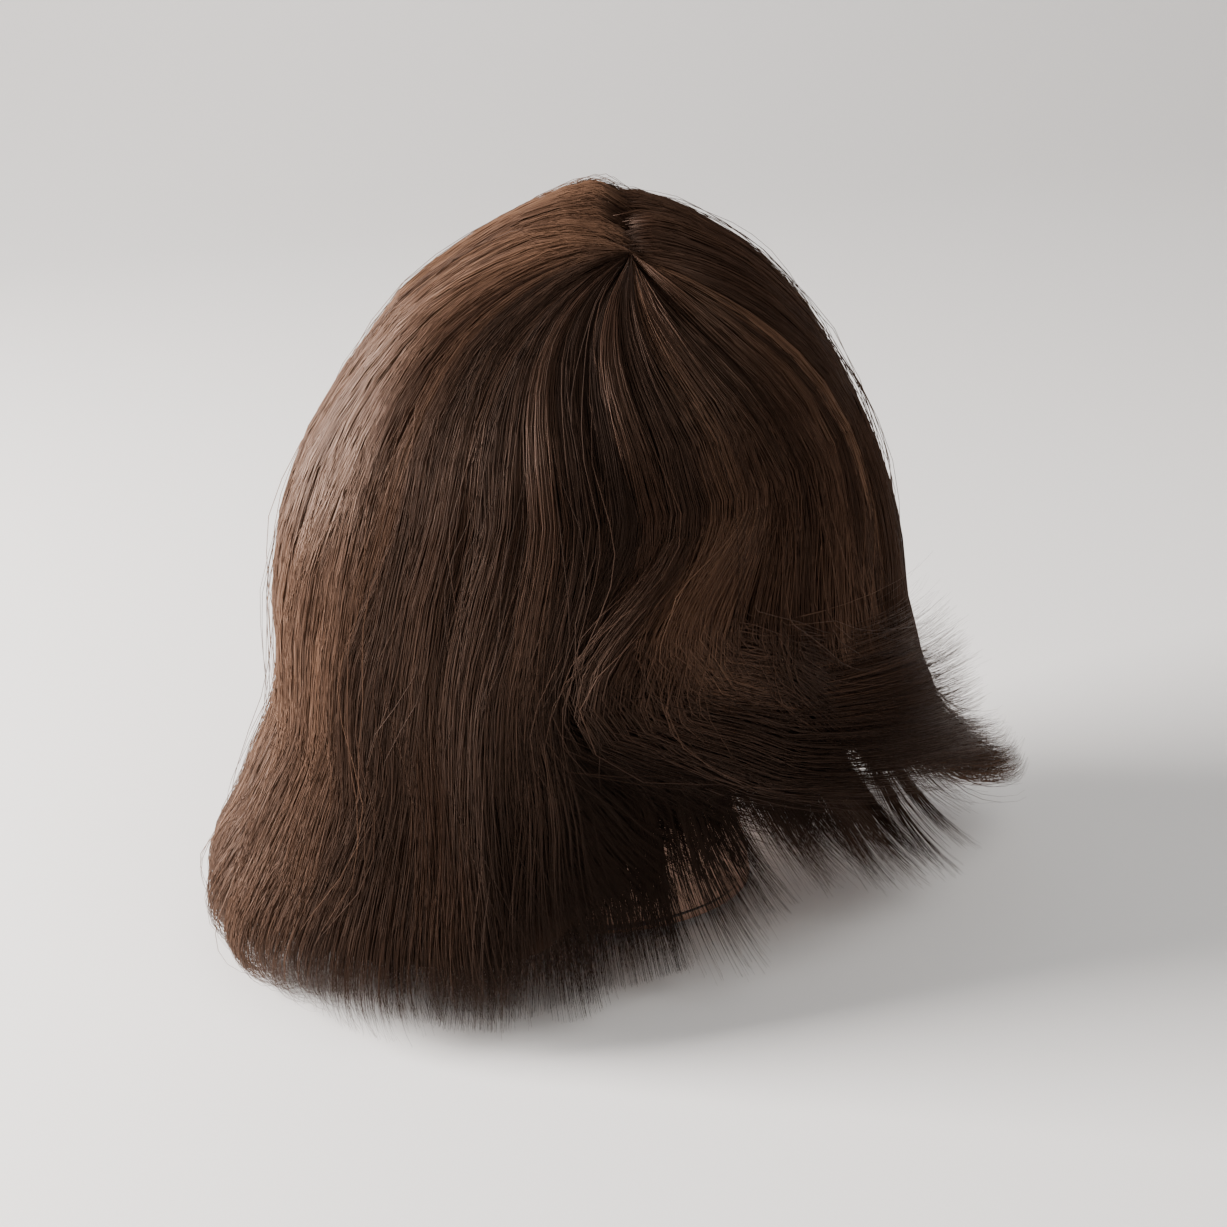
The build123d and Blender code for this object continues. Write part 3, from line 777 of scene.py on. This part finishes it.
def lock_layer(locks, per_lock, depth, start, span, ends, wave, gather, fly=0.0, flow=1.0, shade=0.0,
               turned=1.0):
    """One layer of hair, combed into locks that draw together towards their tips.

    locks, each of per_lock strands, lie between the bearings of span, at a depth under the outside
    of the hair. start is the share of the way from the whorl at which they are rooted. ends holds
    how far they end above the guides right and left of the middle, and how much that varies. wave
    and gather shape the locks, fly lifts single strands, and flow, shade and turned are the shares
    of the guides' sway, of painted shade that darkens the deeper layers, and of the turned ends.
    """
    n = locks * per_lock
    centre = np.linspace(span[0], span[1], locks) + dice.normal(0, 0.7, locks) * (span[1] - span[0]) / locks
    width = (span[1] - span[0]) / locks
    which = np.repeat(np.arange(locks), per_lock)
    place = dice.normal(0, 0.5, n)
    spread = place * width * 1.6
    bearing = np.clip(centre[which] + spread, -last_bearing, last_bearing)
    lock_depth = dice.uniform(depth[0], depth[1], locks)[which]
    layer_depth = np.clip(lock_depth + 3.2 * place ** 2 + dice.normal(0, 0.5, n), 0, 40)
    lock_longer = dice.normal(0, ends[1], locks)[which] + np.interp(centre[which], right_to_left, ends[0])
    ragged = 3.0 * np.sin(centre[which] / 6.0 + 1.0) + 2.0 * np.sin(centre[which] / 2.7)
    longer = lock_longer + ragged + dice.normal(0, 1.5, n) + np.abs(dice.normal(0, 8, n))
    curl = np.clip(1 + dice.normal(0, 0.12, locks)[which] + dice.normal(0, 0.12, n), 0.2, 1.6)
    curl = curl * np.clip(1 - longer / 22.0, 0.15, 1) * turned
    sway = flow * np.clip(1 + dice.normal(0, 0.15, locks)[which] + dice.normal(0, 0.06, n), 0.3, 1.7)
    begin = np.clip(dice.uniform(start[0], start[1], locks)[which] + dice.normal(0, 0.02, n), -0.1, 0.9)
    phase = dice.uniform(0, 2 * np.pi, (3, locks))[:, which]
    lock_wave = wave * dice.uniform(0.5, 1.3, locks)[which]
    own_phase = dice.uniform(0, 2 * np.pi, (2, n))
    own_wave = dice.uniform(0.2, 0.9, n) + fly * dice.uniform(0, 1, n)
    apart = (np.radians(spread) * hang_radius)[:, None]

    def drift(along):
        def ripple(size, length, offset):
            return size[:, None] * np.sin(along / length + offset[:, None])

        s = along / usual_length
        draw = gather * s * s * (3 - 2 * np.minimum(s, 1)) * apart
        build = np.clip(s * 1.6, 0, 1)
        lateral = (ripple(0.8 * lock_wave, 16.0, phase[0]) + ripple(2.6 * lock_wave, 38.0, phase[1])) * build
        lateral = lateral + ripple(own_wave, 11.0, own_phase[0]) * np.minimum(s * 3, 1)
        rise = ripple(1.1 * lock_wave, 27.0, phase[2]) * build
        rise = rise + ripple(0.5 * own_wave, 19.0, own_phase[1]) + fly * 0.5 * s
        return lateral - draw, rise

    root_dip = np.full(n, 4.0)
    path, normal = comb(bearing, layer_depth, begin, root_dip, longer, curl, sway, drift)
    lock_tone = np.clip(dice.normal(0.42, 0.12, locks), 0.05, 1)[which] - shade
    # Painted light and shade by bearing: the hair on the head's lit left is made lighter, the middle of the
    # back darker.
    side_light_and_shade = np.interp(bearing, (-140, -90, -30, 0, 15, 35, 55, 100, 140),
                          (0, 0.04, -0.04, -0.26, -0.34, -0.16, 0.20, 0.28, 0.08))
    tone = np.clip(lock_tone + side_light_and_shade + dice.normal(0, 0.07, n), 0, 1)
    along = np.linspace(0, 1, path.shape[1])
    # Painted shade in the hollow at the middle of the back: the lower part of the strands there is darkened.
    hollow_shade = np.exp(-((bearing + 5) / 15) ** 2)[:, None] * np.clip(along * 3 - 1.6, 0, 1)[None]
    # roots: lighter over the crown, in part a painted highlight on the top of the hair, and darkest right
    # where the strands leave the scalp.
    roots = 0.30 * np.exp(-along * 9) - 0.55 * np.exp(-along * 60)
    half_way = 0.12 * np.exp(-((along - 0.55) / 0.2) ** 2)
    along_and_painted_light = (roots + half_way - 0.06 + 0.03 * along ** 2)[None] - 0.6 * hollow_shade
    tone = np.clip(tone[:, None] + along_and_painted_light, 0, 1)
    thickness = dice.uniform(0.10, 0.16, n)
    return path, normal, tone, thickness, bearing


whole_head = (-140, 140)
outer_hair = lock_layer(100, 112, (0.0, 4.0), (-0.07, 0.05), whole_head, ((0.0, 0.0), 3.5), 1.7, 0.75)
# The second and third layers are darkened by shade: painted shade, as they lie under the outer locks.
second_hair = lock_layer(64, 60, (3.0, 8.0), (0.10, 0.35), whole_head, ((0.0, 0.0), 4.0), 2.0, 0.7,
                         shade=0.05, turned=0.75)
third_hair = lock_layer(48, 40, (8.0, 14.0), (0.35, 0.7), whole_head, ((-6.0, -6.0), 5.0), 2.2, 0.6,
                        flow=0.55, shade=0.12, turned=0.4)
stray_hair = lock_layer(60, 3, (-2.0, 1.0), (-0.05, 0.1), (-135, 135), ((0.0, 0.0), 7.0), 3.0, -0.8,
                        fly=3.0)


def piece_of(name, layer, low, high, nodes):
    """The strands of a layer between two bearings, as a piece."""
    path, normal, tone, thickness, bearing = layer
    chosen = (bearing >= low) & (bearing < high)
    piece = strands(name, path[chosen], normal[chosen], tone[chosen], thickness[chosen])
    return attach(piece, dark_brown, nodes)


edges = (-143, -112, -85, -64, -43, -22, 0, 22, 43, 64, 85, 112, 143)
for low, high in zip(edges, edges[1:]):
    node = "hair_top_left" if low >= 85 else "hair_top_right" if high <= -85 else "hair_crown"
    piece_of("outer_locks_%03d" % (low + 180), outer_hair, low, high, [node])
for name, low, high in (("hair_back_left", 23, 75), ("hair_back_centre", -23, 23),
                        ("hair_back_right", -75, -23), ("hair_side_left", 75, 180),
                        ("hair_side_right", -180, -75)):
    piece_of(name + "_locks", second_hair, low, high, [name])
    piece_of(name + "_inner_locks", third_hair, low, high, [name])
piece_of("flyaways", stray_hair, -180, 180, ["hair_crown"])
under_hair("packed_hair", -140, 140, ["hair_nape"], 10.0, 15.0, 16.0)
# The nape hair is darkened by shade: painted shade under the hair above it.
nape = lock_layer(50, 72, (14.0, 34.0), (0.85, 0.9), (-66, 66), ((-31.0, -37.0), 3.0), 1.5, 0.1,
                  flow=0.2, shade=0.2, turned=0.3)
for word, low, high in (("right", -70, -30), ("centre_right", -30, 0), ("centre_left", 0, 30),
                        ("left", 30, 70)):
    piece_of("nape_locks_" + word, nape, low, high, ["hair_nape"])


# ---- Studio --------------------------------------------------------------------------------------
# Plain pale floor and wall in one sweep, a large soft light at the head's left and a weak fill.

def sweep():
    """Floor and back wall in one sheet, with a rounded bend between them."""
    profile = [(0.9, 0.0), (-0.7, 0.0)]
    steps = 10
    for k in range(1, steps + 1):
        turn = math.pi / 2 * k / steps
        profile.append((-0.7 - 0.5 * math.sin(turn), 0.5 - 0.5 * math.cos(turn)))
    profile.append((-1.2, 2.2))
    verts, faces = [], []
    for y, z in profile:
        verts += [(-2.5, y * 1.6, z - 0.0005), (2.5, y * 1.6, z - 0.0005)]
    for k in range(len(profile) - 1):
        faces.append((2 * k, 2 * k + 1, 2 * k + 3, 2 * k + 2))
    mesh = bpy.data.meshes.new("floor")
    mesh.from_pydata(verts, [], faces)
    for face in mesh.polygons:
        face.use_smooth = True
    piece = bpy.data.objects.new("floor", mesh)
    bpy.context.collection.objects.link(piece)
    return piece


floor = sweep()
paper, _, shader, _ = node_material("pale_paper")
shader.inputs["Base Color"].default_value = (0.86, 0.86, 0.85, 1)
shader.inputs["Roughness"].default_value = 0.9
floor.data.materials.append(paper)
floor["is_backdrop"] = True


def soft_light(name, place, aim, size, power, colour):
    """Square area light pointed at a place."""
    lamp = bpy.data.lights.new(name, "AREA")
    lamp.size, lamp.energy, lamp.color = size, power, colour
    light = bpy.data.objects.new(name, lamp)
    light.location = place
    light.rotation_euler = (Vector(aim) - Vector(place)).to_track_quat("-Z", "Y").to_euler()
    bpy.context.collection.objects.link(light)


head_middle = (0, 0, 0.14)
soft_light("window", (1.40, 0.0, 0.70), head_middle, 0.8, 110, (1.0, 0.93, 0.89))
soft_light("ceiling", (-0.5, 0.8, 1.2), head_middle, 1.0, 13, (1.0, 0.96, 0.92))
world = bpy.data.worlds.new("room")
world.use_nodes = True
world.node_tree.nodes["Background"].inputs["Color"].default_value = (0.95, 0.95, 1.0, 1)
world.node_tree.nodes["Background"].inputs["Strength"].default_value = 0.22
bpy.context.scene.world = world

camera_data = bpy.data.cameras.new("camera")
camera = bpy.data.objects.new("camera", camera_data)
bpy.context.collection.objects.link(camera)
aim = Vector((-0.008, 0, 0.106))
elevation, distance, roll = math.radians(22), 0.85, math.radians(-5)
camera.location = aim + distance * Vector((0, math.cos(elevation), math.sin(elevation)))
facing = (aim - camera.location).to_track_quat("-Z", "Y")
camera.rotation_mode = "QUATERNION"
camera.rotation_quaternion = facing @ Quaternion((0, 0, 1), roll)
camera_data.sensor_width = 36
camera_data.lens = 70.6
bpy.context.scene.camera = camera

low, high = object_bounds()
